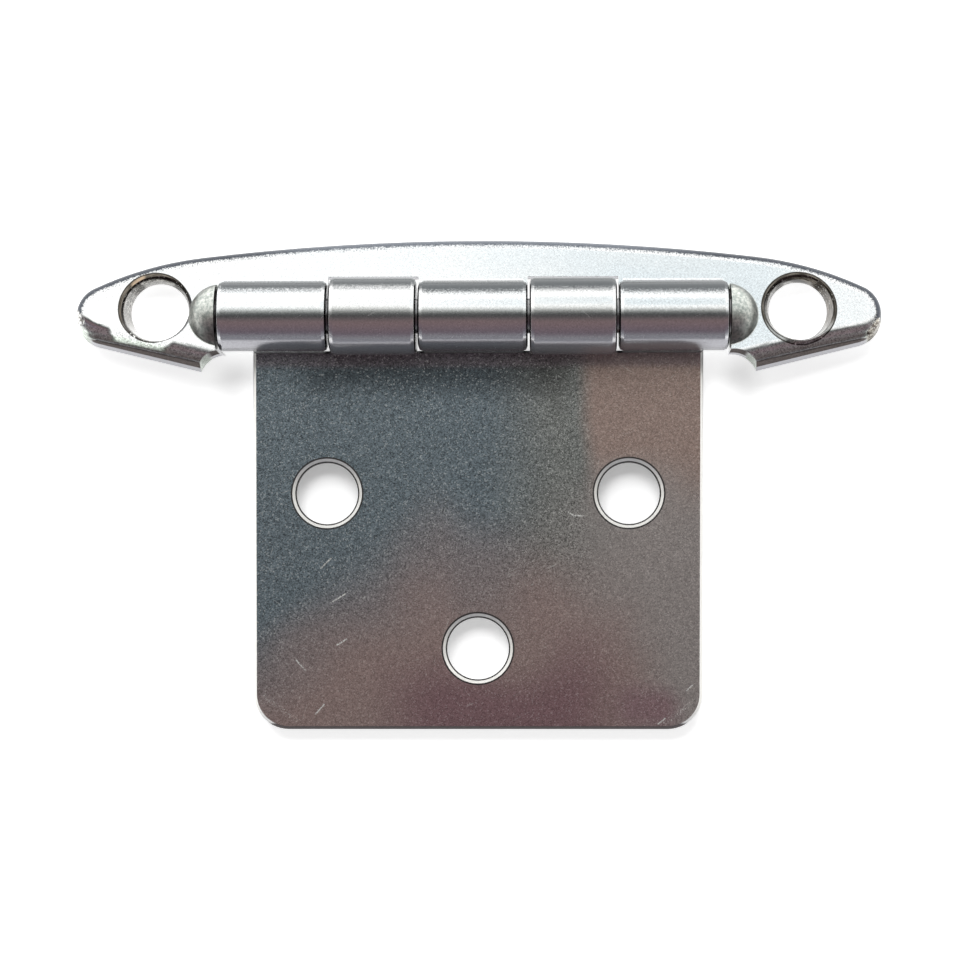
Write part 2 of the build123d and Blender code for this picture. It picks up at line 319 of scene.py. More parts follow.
# %% [markdown]
# Some marks are not scattered: a scratch somebody made, a nick at a tip, a worn corner. Each is a short
# straight stroke from one point to another. The distance from a point to a line segment is the oldest trick
# for this: slide along the stroke to the nearest place on it, without running past its ends, and measure
# from there. A stroke that is wide and soft makes a dent or a rubbed patch; a thin one makes a scratch.

# %% Group: stroke
stroke, starts, ends = new_group(
    "stroke",
    [("Place", VECTOR, None), ("From", VECTOR, None), ("To", VECTOR, None)]
    + [("Width", FLOAT, 0.1), ("Core", FLOAT, 0.4)],
    [("Mask", FLOAT)],
)
run = vector_step(stroke, "SUBTRACT", starts["To"], starts["From"])["Vector"]
flat = vector_step(stroke, "MULTIPLY", starts["Place"], (1, 1, 0))["Vector"]
reach = vector_step(stroke, "SUBTRACT", flat, starts["From"])["Vector"]
parts = {0: dot(stroke, reach, run), 1: dot(stroke, run, run)}
share = add(stroke, "ShaderNodeMath", parts, operation="DIVIDE", use_clamp=True).outputs[0]
off = apart(stroke, reach, shade(stroke, run, share))
core = times(stroke, starts["Width"], starts["Core"])
stroke.links.new(fade(stroke, off, starts["Width"], core), ends["Mask"])
print("group made:", stroke.name)


def strokes(tree, place, marks, width, core=0.4):
    """One mask for several strokes of the same width, each given by its two ends."""
    masks = []
    for start, end in marks:
        inputs = {"Place": place, "From": (*start, 0), "To": (*end, 0), "Width": width, "Core": core}
        masks.append(place_group(tree, stroke, inputs)["Mask"])
    return any_of(tree, *masks)


# %% [markdown]
# Edges take the knocks. The Bevel node asks what the normal would be if the edges were rounded by a radius:
# where its answer leaves the true normal there is an edge. That gives a mask for wear, and the rounded normal
# itself makes each stamped edge catch the light as a tumbled part does.

# %% Group: edge wear
edges, starts, ends = new_group(
    "edge wear",
    [("Radius", FLOAT, 0.1), ("Break-up", FLOAT, 0.5)],
    [("Mask", FLOAT), ("Normal", VECTOR)],
)
rounded = add(edges, "ShaderNodeBevel", {"Radius": times(edges, starts["Radius"], MM)}, samples=6).outputs[0]
true_normal = add(edges, "ShaderNodeNewGeometry").outputs["Normal"]
same = dot(edges, rounded, true_normal)
worn = all_of(edges, fade(edges, same, 0.97, 0.8), fade(edges, starts["Break-up"], 0.3, 0.7))
edges.links.new(worn, ends["Mask"])
edges.links.new(rounded, ends["Normal"])
print("group made:", edges.name)

# %% [markdown]
# All four steels start and end alike: a metal surface that knows where it is, and at the end a colour, a
# roughness and a very shallow bump. The bump's distance is in metres, and two thousandths of a millimetre is
# enough to make a reflection sparkle. Where a stamped front was pressed or knocked, the surface is leant a
# little further before the bump is added. The lean is given along the piece's own axes, so it turns with the
# door.

# %% Helpers: a metal surface
fine_bump, coarse_bump = 0.0018, 0.003


def metal(name):
    """A new material: returns it, its tree, the place group's outputs and its Principled shader."""
    made = bpy.data.materials.new(name)
    made.use_nodes = True
    tree = made.node_tree
    shader = tree.nodes["Principled BSDF"]
    shader.inputs["Metallic"].default_value = 1.0
    return made, tree, place_group(tree, millimetres), shader


def leant(tree, normal, mask, lean):
    """The normal leant over by a vector where the mask holds."""
    turns = {"vector_type": "VECTOR", "convert_from": "OBJECT", "convert_to": "WORLD"}
    turned = add(tree, "ShaderNodeVectorTransform", {0: shade(tree, lean, mask)}, **turns).outputs[0]
    return vector_step(tree, "NORMALIZE", vector_step(tree, "ADD", normal, turned)["Vector"])["Vector"]


def surface(tree, shader, colour, roughness, height, depth, normal):
    """Plugs the finished colour, roughness and bump into the shader."""
    bump = add(tree, "ShaderNodeBump", {"Height": height, "Distance": depth * MM, "Normal": normal})
    tree.links.new(colour, shader.inputs["Base Color"])
    tree.links.new(roughness, shader.inputs["Roughness"])
    tree.links.new(bump.outputs[0], shader.inputs["Normal"])


def grain_factor(tree, noise_value, strength):
    """A factor about one that goes up and down with a noise."""
    inputs = {0: noise_value, 1: strength, 2: 1 - strength / 2}
    return add(tree, "ShaderNodeMath", inputs, operation="MULTIPLY_ADD").outputs[0]


def dress(piece, made):
    """Puts a finished material on a piece of the hinge."""
    nodes[piece].data.materials.clear()
    nodes[piece].data.materials.append(made)
    print(piece, "wears", made.name, "of", len(made.node_tree.nodes), "nodes")


# %% [markdown]
# The steep flanks of the knuckles mirror dark surroundings, and that is painted into their colour: dark bands of
# painted shade above the knuckles and below them, and their ends in the gaps painted nearly black as shade. This
# helper finds those places on the barrel for both halves of the hinge. The low flank has a helper of its own,
# because it scatters part of its light as well.

# %% Helpers: flanks of the knuckles
# Painted shade for the knuckles' flanks and for their ends in the gaps.
flank_painted_shade = (0.085, 0.092, 0.096, 1)
underside_painted_shade = (0.42, 0.42, 0.45, 1)
gap_end_painted_shade = (0.02, 0.02, 0.02, 1)


def low_flank(tree, where):
    """The satin underside of a knuckle, on the leaf's side."""
    return all_of(tree, fade(tree, where["Lean Y"], -0.58, -0.76), fade(tree, where["Lean Z"], -0.15, 0.1))


def paint_flank_shade(tree, where, colour, pebbles):
    """Paints shade on the steep sides of a knuckle, in wider bands on the right, with ragged borders."""
    wider_right = times(tree, fade(tree, where["X"], -6.0, -4.0), 0.07)
    lean_y = plus(tree, where["Lean Y"], sway(tree, pebbles, 0.35), wider_right)
    top_flank = all_of(tree, fade(tree, lean_y, 0.55, 0.78), fade(tree, where["Lean Z"], -0.15, 0.1))
    end = fade(tree, math_step(tree, "ABSOLUTE", where["Lean X"]), 0.75, 0.9)
    coats = ((top_flank, flank_painted_shade), (low_flank(tree, where), underside_painted_shade), (end, gap_end_painted_shade))
    return paint(tree, colour, *coats)


# %% [markdown]
# The frame wing is bright plated and softly polished, so it mirrors the studio in broad bands. Its colour is
# nearly white metal with a faint cool drift. The knuckles are part of the same piece, so a mask for the barrel
# keeps them apart from the rest: they get the painted shade of their flanks here, and all that follows is for the
# wing beside them.

# %% Material: the wing's plating
wing_bright = (0.80, 0.80, 0.795, 1)
wing_cool = (0.77, 0.785, 0.79, 1)
barrel_top = axis_y + 3.05

wing_metal, tree, where, shader = metal("bright plating")
place = where["Place"]
flecks = place_group(tree, grain, {"Place": place, "Grains per mm": 9.0})
rims = place_group(tree, edges, {"Radius": 0.07, "Break-up": flecks["Drift"]})
lines = place_group(tree, hairlines, {"Place": place, "Spread": 0.66})
from_middle = distance_from(tree, where["X"], barrel_middle)
along_barrel = fade(tree, from_middle, barrel_half + 0.1, barrel_half)
on_barrel = all_of(tree, along_barrel, fade(tree, where["Y"], barrel_top + 0.2, barrel_top))
beside = not_in(tree, on_barrel)

colour = blend(tree, fade(tree, flecks["Drift"], 0.35, 0.65), wing_bright, wing_cool)
# Painted shade on the flanks and ends of the wing's knuckles.
colour = blend(tree, on_barrel, colour, paint_flank_shade(tree, where, colour, flecks["Height"]))
print("material begun:", wing_metal.name)

# %% [markdown]
# The wing's rim is painted blue-grey, a painted dark reflection, and darker towards the tips. Its lower side rolls
# under and mirrors warm cloth, with a faint green tone painted in as painted reflection. Below that the wall is
# painted a pale lavender grey, a painted reflection, with a brown line of painted shade at its top where it is
# shaded. The walls of the knuckles' windows are plain. All of these are found by how the surface leans, and the
# pebbles make the rim's border ragged.

# %% The wing's rim and walls
rim_reflection_grey = (0.135, 0.148, 0.17, 1)
rim_reflection_dark = (0.062, 0.069, 0.082, 1)
rolled_reflection_green = (0.84, 0.91, 0.83, 1)
wall_reflection_grey = (0.46, 0.46, 0.495, 1)
under_shade_brown = (0.066, 0.055, 0.052, 1)

level = plus(tree, where["Lean Z"], sway(tree, flecks["Height"], 0.50))
outer = any_of(tree, fade(tree, where["Y"], 3.2, 3.6), fade(tree, where["Aside"], 22.3, 22.8))
rim = all_of(tree, fade(tree, level, 0.89, 0.76), fade(tree, where["Lean Y"], -0.50, -0.10), outer, beside)
rim_reflection_colour = blend(tree, fade(tree, where["Aside"], 12.0, 21.0), rim_reflection_grey, rim_reflection_dark)
steep = all_of(tree, fade(tree, where["Lean Y"], -0.80, -0.92), beside)
rolled_under = all_of(tree, fade(tree, where["Lean Y"], -0.25, -0.5), beside, not_in(tree, steep))
window = all_of(tree, fade(tree, where["Y"], 1.2, 1.8), fade(tree, where["Aside"], 22.0, 21.0))
under = all_of(tree, steep, fade(tree, where["Z"], 1.45, 1.65), not_in(tree, window))
wall = all_of(tree, steep, not_in(tree, under))
# Painted reflection on the rim, the lower side and the wall, and painted shade in the brown line.
colour = paint(
    tree, colour, (rim, rim_reflection_colour), (rolled_under, rolled_reflection_green), (wall, wall_reflection_grey), (under, under_shade_brown)
)
print("rim, lower side and walls painted")

# %% [markdown]
# The two half-ball domes over the pin's ends were only tumbled: satin, mottled and faintly green. Where they turn
# away they are painted darker, as painted shade. A dome is the part of the wing that is within a ball's radius of
# the dome's centre.
# Both are found at once, by measuring from the barrel's middle instead of from the left or the right.

# %% The wing's domes
dome_dark = (0.38, 0.42, 0.39, 1)
dome_pale = (0.78, 0.79, 0.74, 1)
dome_radius = 2.84
dome_centre = (barrel_half - 0.23, axis_y, axis_z)

from_dome = apart(tree, point(tree, from_middle, where["Y"], where["Z"]), dome_centre)
past_barrel = fade(tree, from_middle, barrel_half + 0.05, barrel_half + 0.15)
dome = all_of(tree, fade(tree, from_dome, dome_radius + 0.06, dome_radius), past_barrel)
mottle = noise(tree, place, 3.2, 3.0, 0.6)
dome_turn_shade = any_of(tree, fade(tree, where["Lean Z"], 0.75, 0.35), fade(tree, where["Lean Y"], -0.15, -0.6))
dome_colour = blend(tree, fade(tree, mottle, 0.3, 0.7), dome_dark, dome_pale)
# Painted shade where the domes turn away.
dome_colour = shade(tree, dome_colour, between(tree, dome_turn_shade, 1.0, 0.42))
colour = blend(tree, dome, colour, dome_colour)
print("domes painted about", [round(value, 2) for value in dome_centre], "mm")

# %% [markdown]
# Each screw hole has a countersunk seat: a sloped outer ring, and a funnel inside it. The drill wandered a
# little, so neither circle has its middle quite on the hole's axis, and the two seats differ. Each size
# below is therefore a pair: the mean of both seats, and what the right one has more and the left one less.

# %% Where the wing's screw seats are
seat_middle, seat_radius = ((0.025, -0.145), (0.01, -0.10)), (3.19, 0.065)
funnel_middle, funnel_radius = ((-0.145, -0.205), (-0.13, -0.02)), (2.825, -0.075)

side = math_step(tree, "SIGN", where["X"])
from_side = minus(tree, where["Aside"], wing_hole_x)


def off_circle(middle, radius):
    """How far outside a circle: its middle, from the hole's axis, and its radius are pairs."""
    middle_x, middle_y, reach = [
        add(tree, "ShaderNodeMath", {0: side, 1: extra, 2: mean}, operation="MULTIPLY_ADD").outputs[0]
        for mean, extra in (*middle, radius)
    ]
    offset = point(tree, minus(tree, from_side, middle_x), minus(tree, where["Y"], middle_y))
    return minus(tree, vector_step(tree, "LENGTH", offset)["Value"], reach)


off_seat = off_circle(seat_middle, seat_radius)
off_funnel = off_circle(funnel_middle, funnel_radius)
seat = all_of(tree, fade(tree, off_seat, 0.05, 0.0), beside, not_in(tree, dome))
funnel = all_of(tree, seat, fade(tree, off_funnel, 0.03, -0.03))
inner_line = fade(tree, distance_from(tree, off_funnel, 0.0), 0.10, 0.05)
outer_line = fade(tree, distance_from(tree, off_seat, -0.04), 0.07, 0.03)
step_line = all_of(tree, seat, any_of(tree, inner_line, outer_line))
print("seats of radius", seat_radius[0], "mm and funnels of", funnel_radius[0], "mm at both screw holes")

# %% [markdown]
# The seats were cut after plating. The outer ring is brown and streaked by the tool, so its noise is laid in
# circles: it reads the angle round the hole and the distance from the ring. The funnel is a lighter, speckled
# grey. Low down both catch the light, a glint of straw sits at the left ring's upper side, and a dark line
# marks each step.

# %% The wing's screw seats
ring_dark, ring_pale = (0.045, 0.038, 0.030, 1), (0.21, 0.185, 0.155, 1)
low_ring_dark, low_ring_pale = (0.24, 0.24, 0.23, 1), (0.62, 0.62, 0.60, 1)
funnel_dark, funnel_pale = (0.13, 0.128, 0.122, 1), (0.52, 0.51, 0.485, 1)
low_funnel = (0.80, 0.80, 0.78, 1)
glint_straw = (0.46, 0.35, 0.25, 1)
line_dark = (0.05, 0.045, 0.04, 1)
seat_glint = (((-29.7, 2.2), (-29.0, 2.8)),)
glint_width = 0.4

round_hole = math_step(tree, "ARCTAN2", where["Y"], from_side)
turning = point(tree, round_hole, times(tree, off_seat, 6.0), side)
streaks = fade(tree, noise(tree, turning, 3.0, 3.0), 0.35, 0.65)
low_part = fade(tree, where["Y"], -0.8, -2.2)
low_ring = blend(tree, streaks, low_ring_dark, low_ring_pale)
seat_colour = blend(tree, low_part, blend(tree, streaks, ring_dark, ring_pale), low_ring)
seat_colour = blend(tree, strokes(tree, place, seat_glint, glint_width, 0.0), seat_colour, glint_straw)
funnel_colour = blend(tree, low_part, blend(tree, flecks["Grit"], funnel_dark, funnel_pale), low_funnel)
colour = paint(tree, colour, (seat, seat_colour), (funnel, funnel_colour), (step_line, line_dark))
print("screw seats painted")

# %% [markdown]
# The left tip has a bright crumpled nick, and the right tip a worn, straw-coloured facet. Both are strokes
# filled with the cells of a Voronoi texture, which look like crushed metal. Edges everywhere are rubbed a
# little bright.

# %% The wing's knocks
left_nick = (((wing_tip, -0.1), (-34.3, -1.0)),)
right_facet = (((34.6, -1.3), (33.8, -2.2)),)
nick_width, facet_width = 0.5, 0.55
rubbed_edge = (0.86, 0.86, 0.85, 1)

nick = strokes(tree, place, left_nick, nick_width, 0.5)
facet = strokes(tree, place, right_facet, facet_width, 0.6)
crumple = add(tree, "ShaderNodeTexVoronoi", {"Vector": place, "Scale": 4.0}).outputs["Distance"]
nick_colour = blend(tree, fade(tree, crumple, 0.45, 0.65), (0.95, 0.95, 0.93, 1), (0.25, 0.24, 0.22, 1))
facet_colour = blend(tree, fade(tree, crumple, 0.4, 0.6), (0.55, 0.52, 0.45, 1), (0.15, 0.13, 0.11, 1))
rubbed = times(tree, rims["Mask"], 0.4)
colour = paint(tree, colour, (nick, nick_colour), (facet, facet_colour), (rubbed, rubbed_edge))
print("tips knocked, edges rubbed")

# %% [markdown]
# The weave of the rolls runs through every colour. Where the wing rolls under, the wheel didn't smooth the
# plating, so there the crystals show as grit and specks, and it is painted darker the further it turns under, as
# painted shade.

# %% The wing's grain
speck_bright = (0.85, 0.85, 0.82, 1)

turning_under = fade(tree, where["Lean Y"], 0.12, -0.15)
rolled = all_of(tree, turning_under, beside, not_in(tree, dome), not_in(tree, wall))
rolled_shade_depth = all_of(tree, rolled, not_in(tree, under), fade(tree, where["Lean Y"], -0.25, -0.8))
colour = shade(tree, colour, grain_factor(tree, flecks["Weave"], 0.9))
colour = shade(tree, colour, plus(tree, 1.0, times(tree, rolled, sway(tree, flecks["Grit"], 0.8))))
colour = blend(tree, all_of(tree, rolled, flecks["Speck"], not_in(tree, under)), colour, speck_bright)
# Painted shade, darker the further the wing turns under.
colour = shade(tree, colour, not_in(tree, times(tree, rolled_shade_depth, 0.45)))
print("grain laid over the wing")

# %% [markdown]
# The wing was pressed a little rounder near its tips and beside the barrel's ends, and flatter in between.
# These soft dips are strokes that lean the surface, and the whole lower side is leant back a little to show
# the cloth. They could be cut into the mesh, but they are a few hundredths of a millimetre deep: only the
# reflection shows.

# %% The wing's dips
dips = (
    ((-34.3, -1.1), (-31.2, -2.8)),
    ((-26.4, -3.8), (-24.6, -4.3)),
    ((24.6, -4.3), (27.0, -3.7)),
    ((30.0, -2.9), (33.8, -2.2)),
)
flats = (((-30.7, -2.25), (-27.3, -2.95)),)
dip_width, flat_width = 0.9, 1.35

dip = all_of(tree, strokes(tree, place, dips, dip_width, 0.0), fade(tree, where["Lean Y"], -0.25, 0.0))
above_wall = fade(tree, where["Lean Y"], -0.85, -0.75)
level_part = all_of(tree, strokes(tree, place, flats, flat_width, 0.15), above_wall)
turned_under = all_of(tree, fade(tree, where["Lean Y"], -0.45, -0.75), not_in(tree, wall), beside)
normal = leant(tree, rims["Normal"], dip, (0.0, -0.62, 0.0))
normal = leant(tree, normal, level_part, (0.0, 0.70, 0.0))
normal = leant(tree, normal, turned_under, (0.0, 0.42, 0.25))
print("dips made:", len(dips), "and", len(flats), "flat")

# %% [markdown]
# Last come roughness and height. Polished fronts are smooth, the domes are satin, and rim, walls and seats
# lie between. The knuckles' low flanks also scatter about a third of their light, as unpolished plating
# does.

# %% The wing's shader
satin = any_of(
    tree,
    times(tree, dome, 0.24),
    times(tree, any_of(tree, seat, rim, wall), 0.12),
    times(tree, rolled, 0.14),
)
roughness = plus(tree, between(tree, flecks["Height"], 0.13, 0.23), satin, times(tree, lines["Mask"], 0.12))
knocked = times(tree, any_of(tree, nick, facet), crumple, 18.0)
height = minus(tree, flecks["Height"], times(tree, lines["Mask"], 0.5))
height = plus(tree, height, times(tree, dome, mottle, 3.0))
height = minus(tree, height, knocked)
scatter = times(tree, on_barrel, low_flank(tree, where), 0.35)
tree.links.new(not_in(tree, scatter), shader.inputs["Metallic"])
surface(tree, shader, colour, roughness, height, fine_bump, normal)
dress("frame_wing", wing_metal)

# %% [markdown]
# The door leaf came out of the same bath, but its flat was never polished. It is duller and darker than its
# own knuckles, so part of the light scatters in it, and the plating's colour drifts over it in soft clouds:
# blue-grey above and on the left, greenish in the middle, a warm brown to the right behind a border that is
# sharp above and soft below, a dusty mauve below and wine red at the lower edge. A slow noise is added to the
# place on the plate that the clouds are painted by, so that no border is a drawn line.

# %% Material: the leaf's plating
leaf_blue = (0.202, 0.246, 0.274, 1)
leaf_green = (0.265, 0.274, 0.262, 1)
leaf_brown = (0.440, 0.325, 0.285, 1)
leaf_warm = (0.425, 0.378, 0.362, 1)
leaf_mauve = (0.415, 0.305, 0.285, 1)
leaf_wine = (0.315, 0.192, 0.205, 1)
leaf_pink = (0.360, 0.235, 0.250, 1)
pink_spot = (((13.6, -34.2), (15.4, -34.4)),)
pink_width = 3.0

leaf_metal, tree, where, shader = metal("rolled plating")
place = where["Place"]
flecks = place_group(tree, grain, {"Place": place, "Grains per mm": 11.5})
rims = place_group(tree, edges, {"Radius": 0.06, "Break-up": flecks["Drift"]})
lines = place_group(tree, hairlines, {"Place": place, "Spread": 0.7})
wander = sway(tree, flecks["Drift"], 9.0)
wandered_x = plus(tree, where["X"], times(tree, wander, 0.25))
wandered_y = plus(tree, where["Y"], wander)
left_lag = times(tree, math_step(tree, "MINIMUM", plus(tree, where["X"], 3.0), 0.0), 0.62)
down = minus(tree, left_lag, wandered_y)
print("material begun:", leaf_metal.name)

# %% [markdown]
# Each cloud is a soft ramp over that place. Down is the distance below the barrel, and it lags on the left,
# where the blue reaches lower. The brown side has its own order of colours, so it is made apart and laid over
# the rest behind its border.

# %% The leaf's clouds
colour = blend(tree, fade(tree, wandered_x, 0.0, 7.0), leaf_blue, leaf_green)
colour = blend(tree, fade(tree, down, 15.0, 28.0), colour, leaf_mauve)
low_right = all_of(tree, fade(tree, wandered_y, -24.0, -32.0), fade(tree, where["X"], 17.5, 12.0))
right_side = blend(tree, fade(tree, wandered_y, -11.0, -17.0), leaf_brown, leaf_warm)
right_side = blend(tree, low_right, right_side, leaf_mauve)
sharp_border = fade(tree, wandered_x, 8.6, 10.8)
soft_border = fade(tree, wandered_x, 4.0, 15.0)
border = between(tree, fade(tree, where["Y"], -13.0, -19.0), sharp_border, soft_border)
colour = blend(tree, border, colour, right_side)
low_middle = fade(tree, distance_from(tree, where["X"], 2.0), 12.5, 5.0)
colour = blend(tree, all_of(tree, fade(tree, wandered_y, -27.5, -34.0), low_middle), colour, leaf_wine)
colour = blend(tree, strokes(tree, place, pink_spot, pink_width, 0.1), colour, leaf_pink)
print("clouds painted")

# %% [markdown]
# Under the barrel the plate mirrors the dark underside of the knuckles: a mauve band, and below it a darker one
# that ends before the plate's left edge and stops at the brown cloud. Both are painted into the colour, as painted
# reflection and painted shade. The knuckles are rolled from the same sheet, so a mask tells them from the plate.

# %% The leaf's shaded band
painted_reflection_mauve = (0.25, 0.195, 0.22, 1)
knuckle_foot = axis_y - 2.8

past_foot = fade(tree, where["Y"], knuckle_foot - 0.3, knuckle_foot)
on_knuckle = any_of(tree, past_foot, fade(tree, where["Z"], 1.9, 2.1))
on_plate = not_in(tree, on_knuckle)
barrel_shade_on_plate = fade(tree, plus(tree, where["Y"], times(tree, wander, 0.15)), -8.6, -5.4)
middle = fade(tree, distance_from(tree, wandered_x, -3.4), 13.5, 9.5)
# Painted shade under the barrel, and the painted reflection of the knuckles' mauve underside.
colour = shade(tree, colour, not_in(tree, times(tree, barrel_shade_on_plate, middle, 0.5)))
colour = blend(tree, times(tree, fade(tree, where["Y"], -5.3, -4.5), 0.6), colour, painted_reflection_mauve)
print("shaded band painted below y =", knuckle_foot, "mm")

# %% [markdown]
# The unpolished plate shows its crystals and the weave of the rolls plainly, most of all in the blue, and
# less in the smoother mauve and brown. Then come the scratches and worn corners: freshly bared steel is
# brighter than the plating, so every mark is light, and the weave breaks it up.

# %% The leaf's grain and scratches
bare = (1.0, 0.99, 0.96, 1)
scratch_marks = (
    ((-13.5, -22.3), (-12.6, -21.4)),
    ((-12.5, -25.2), (-11.4, -24.5)),
    ((-12.1, -28.9), (-11.3, -28.4)),
    ((-15.6, -30.2), (-14.8, -31.1)),
    ((-13.9, -34.8), (-13.2, -34.0)),
    ((15.4, -35.7), (16.0, -35.2)),
    ((17.9, -32.8), (18.4, -32.3)),
    ((7.8, -17.5), (8.3, -17.8)),
    ((8.2, -17.8), (9.1, -17.8)),
)
worn_corners = (
    ((-18.4, -33.2), (-15.6, -35.3)),
    ((18.6, -33.6), (16.0, -35.6)),
)
scratch_width, corner_width = 0.085, 0.28

quiet = any_of(tree, fade(tree, down, 16.0, 27.0), sharp_border)
speckle = between(tree, quiet, 1.05, 0.55)
tones = plus(tree, sway(tree, flecks["Grit"], 1.0), sway(tree, flecks["Weave"], 1.6))
colour = shade(tree, colour, plus(tree, 1.0, times(tree, tones, speckle)))
broken = fade(tree, flecks["Weave"], 0.36, 0.55)
scratches = all_of(tree, strokes(tree, place, scratch_marks, scratch_width), broken)
chipped = fade(tree, flecks["Height"], 0.60, 0.66)
marks = any_of(tree, scratches, all_of(tree, strokes(tree, place, worn_corners, corner_width), chipped))
for mask in (times(tree, flecks["Speck"], speckle, 0.3), times(tree, lines["Mask"], 0.35), marks):
    colour = blend(tree, mask, colour, bare)
print("scratches made:", len(scratch_marks), "and", len(worn_corners), "worn corners")

# %% [markdown]
# The leaf's two knuckles are as bright as the wing's, with the same painted shade on their flanks. The back and
# the walls of the plate are plain grey with the same weave. The bevelled edges are painted bright as a painted
# highlight, a little less on the sides that face the plate's bottom, and painted dark along the bottom and under
# the barrel, as a painted reflection of the dark.

# %% The leaf's knuckles, back and edges
leaf_bright = (0.79, 0.79, 0.785, 1)
leaf_back = (0.52, 0.52, 0.515)
bevel_highlight_dim, bevel_highlight_full = (0.80, 0.80, 0.79, 1), (0.97, 0.96, 0.92, 1)
bevel_reflection_dark = (0.10, 0.09, 0.09, 1)

knuckle_colour = paint_flank_shade(tree, where, leaf_bright, flecks["Height"])
knuckle_colour = shade(tree, knuckle_colour, grain_factor(tree, flecks["Weave"], 0.9))
behind = all_of(tree, fade(tree, where["Lean Z"], 0.40, 0.25), on_plate)
in_front = not_in(tree, behind)
back_colour = shade(tree, leaf_back, grain_factor(tree, flecks["Weave"], 0.8))
sloped = all_of(tree, fade(tree, where["Lean Z"], 0.95, 0.88), on_plate, in_front)
bottom_edge = fade(tree, where["Y"], -35.5, -35.7)
top_edge = all_of(tree, fade(tree, where["Y"], -4.9, -4.6), fade(tree, where["Lean Y"], 0.3, 0.5), in_front)
# Painted highlight on the bevels, and painted dark reflection along the bottom and under the barrel.
painted_dark_bevel = any_of(tree, bottom_edge, top_edge)
bevel_light_and_shade = blend(tree, fade(tree, where["Lean Y"], -0.65, -0.1), bevel_highlight_dim, bevel_highlight_full)
bevel_light_and_shade = blend(tree, painted_dark_bevel, bevel_light_and_shade, bevel_reflection_dark)
colour = paint(tree, colour, (on_knuckle, knuckle_colour), (behind, back_colour), (sloped, bevel_light_and_shade))
print("knuckles, back and edges painted")

# %% [markdown]
# Each screw hole has a narrow bright bevel between two thin dark lines, and the plate's long sides have a
# grey outline. All three holes are measured at once: the plate is folded along its middle line, and the
# nearer of the two hole axes that are left counts. The paper under the hinge uses the same helper.

# %% The leaf's holes and outline
hole_places = ((leaf_hole_x, leaf_hole_y, 0.0), (0.0, low_hole_y, 0.0))
ring_steps = (0.05, 0.42)
ring_line = (0.07, 0.065, 0.065, 1)
outline_grey = (0.30, 0.30, 0.30, 1)


def from_leaf_hole(tree, where):
    """The distance from the axis of the leaf's nearest screw hole."""
    folded = point(tree, where["Aside"], where["Y"])
    return math_step(tree, "MINIMUM", *[apart(tree, folded, centre) for centre in hole_places])


from_hole = from_leaf_hole(tree, where)
rings = [fade(tree, distance_from(tree, from_hole, leaf_hole_r + step), 0.085, 0.045) for step in ring_steps]
hole_line = all_of(tree, any_of(tree, *rings), in_front)
outline = all_of(tree, fade(tree, where["Aside"], leaf_half - 0.10, leaf_half - 0.04), on_plate, in_front)
colour = paint(tree, colour, (hole_line, ring_line), (outline, outline_grey))
print("holes ringed at", hole_places)

# %% [markdown]
# The plate is rougher than its knuckles. Where the plating is dull, part of the light is scattered and not
# mirrored: a fifth on the flat face, and more on the bright bevels, the seam and the knuckles' low flanks.

# %% The leaf's shader
flat_face = all_of(tree, on_plate, fade(tree, where["Lean Z"], 0.9, 0.97))
bright_edge = all_of(tree, sloped, not_in(tree, painted_dark_bevel), not_in(tree, hole_line))
below_barrel = fade(tree, where["Y"], -3.3, -3.6)
seam = all_of(tree, fade(tree, where["Y"], -4.9, -4.3), below_barrel, not_in(tree, top_edge))
scatter = any_of(
    tree,
    times(tree, flat_face, 0.2),
    times(tree, bright_edge, 0.5),
    times(tree, seam, 0.4),
    times(tree, on_knuckle, low_flank(tree, where), 0.35),
)
roughness = plus(tree, between(tree, flecks["Height"], 0.28, 0.38), times(tree, on_knuckle, -0.15))
height = minus(tree, flecks["Height"], times(tree, any_of(tree, lines["Mask"], marks), 0.8))
tree.links.new(not_in(tree, scatter), shader.inputs["Metallic"])
surface(tree, shader, colour, roughness, height, coarse_bump, rims["Normal"])
dress("door_leaf", leaf_metal)

# %% [markdown]
# The pin and the spring are plain steel and mostly hidden. The pin was drawn through a die, so its fine lines
# run along X; the spring was tempered, which leaves it darker with a straw tint in places.

# %% Materials: drawn pin and tempered spring
worn_steel = (0.75, 0.75, 0.74, 1)


def drawn_steel(name, piece, light, dark, stretch):
    """Steel with fine lines along X: a noise that is drawn out along the wire."""
    made, tree, where, shader = metal(name)
    flecks = place_group(tree, grain, {"Place": where["Place"], "Grains per mm": 5.0})
    rims = place_group(tree, edges, {"Radius": 0.06, "Break-up": flecks["Drift"]})
    drawn = add(tree, "ShaderNodeMapping", {"Vector": where["Place"], "Scale": stretch}).outputs[0]
    die_lines = noise(tree, drawn, 6.0, 3.0)
    colour = blend(tree, rims["Mask"], blend(tree, die_lines, dark, light), worn_steel)
    roughness = between(tree, die_lines, 0.25, 0.45)
    surface(tree, shader, colour, roughness, die_lines, coarse_bump, rims["Normal"])
    dress(piece, made)


drawn_steel("drawn steel", "hinge_pin", (0.62, 0.62, 0.62, 1), (0.42, 0.42, 0.43, 1), (0.05, 1.0, 1.0))
drawn_steel("tempered steel", "closing_spring", (0.46, 0.44, 0.40, 1), (0.27, 0.27, 0.29, 1), (0.1, 1.0, 1.0))

# %% [markdown]
# The camera looks straight down on the hinge from about 26 cm, a little below its middle and tilted by four
# degrees. Both points are read off the picture: the lower walls of the wing show and the upper ones don't,
# so the lens stands over the lower edge of the leaf. The view's width fixes the lens.

# %% Camera
camera_place = Vector((5.2, -32.8, 264.0)) * MM
camera_aim = Vector((0.2, -14.8, 3.0)) * MM
view_width = 82.3 * MM

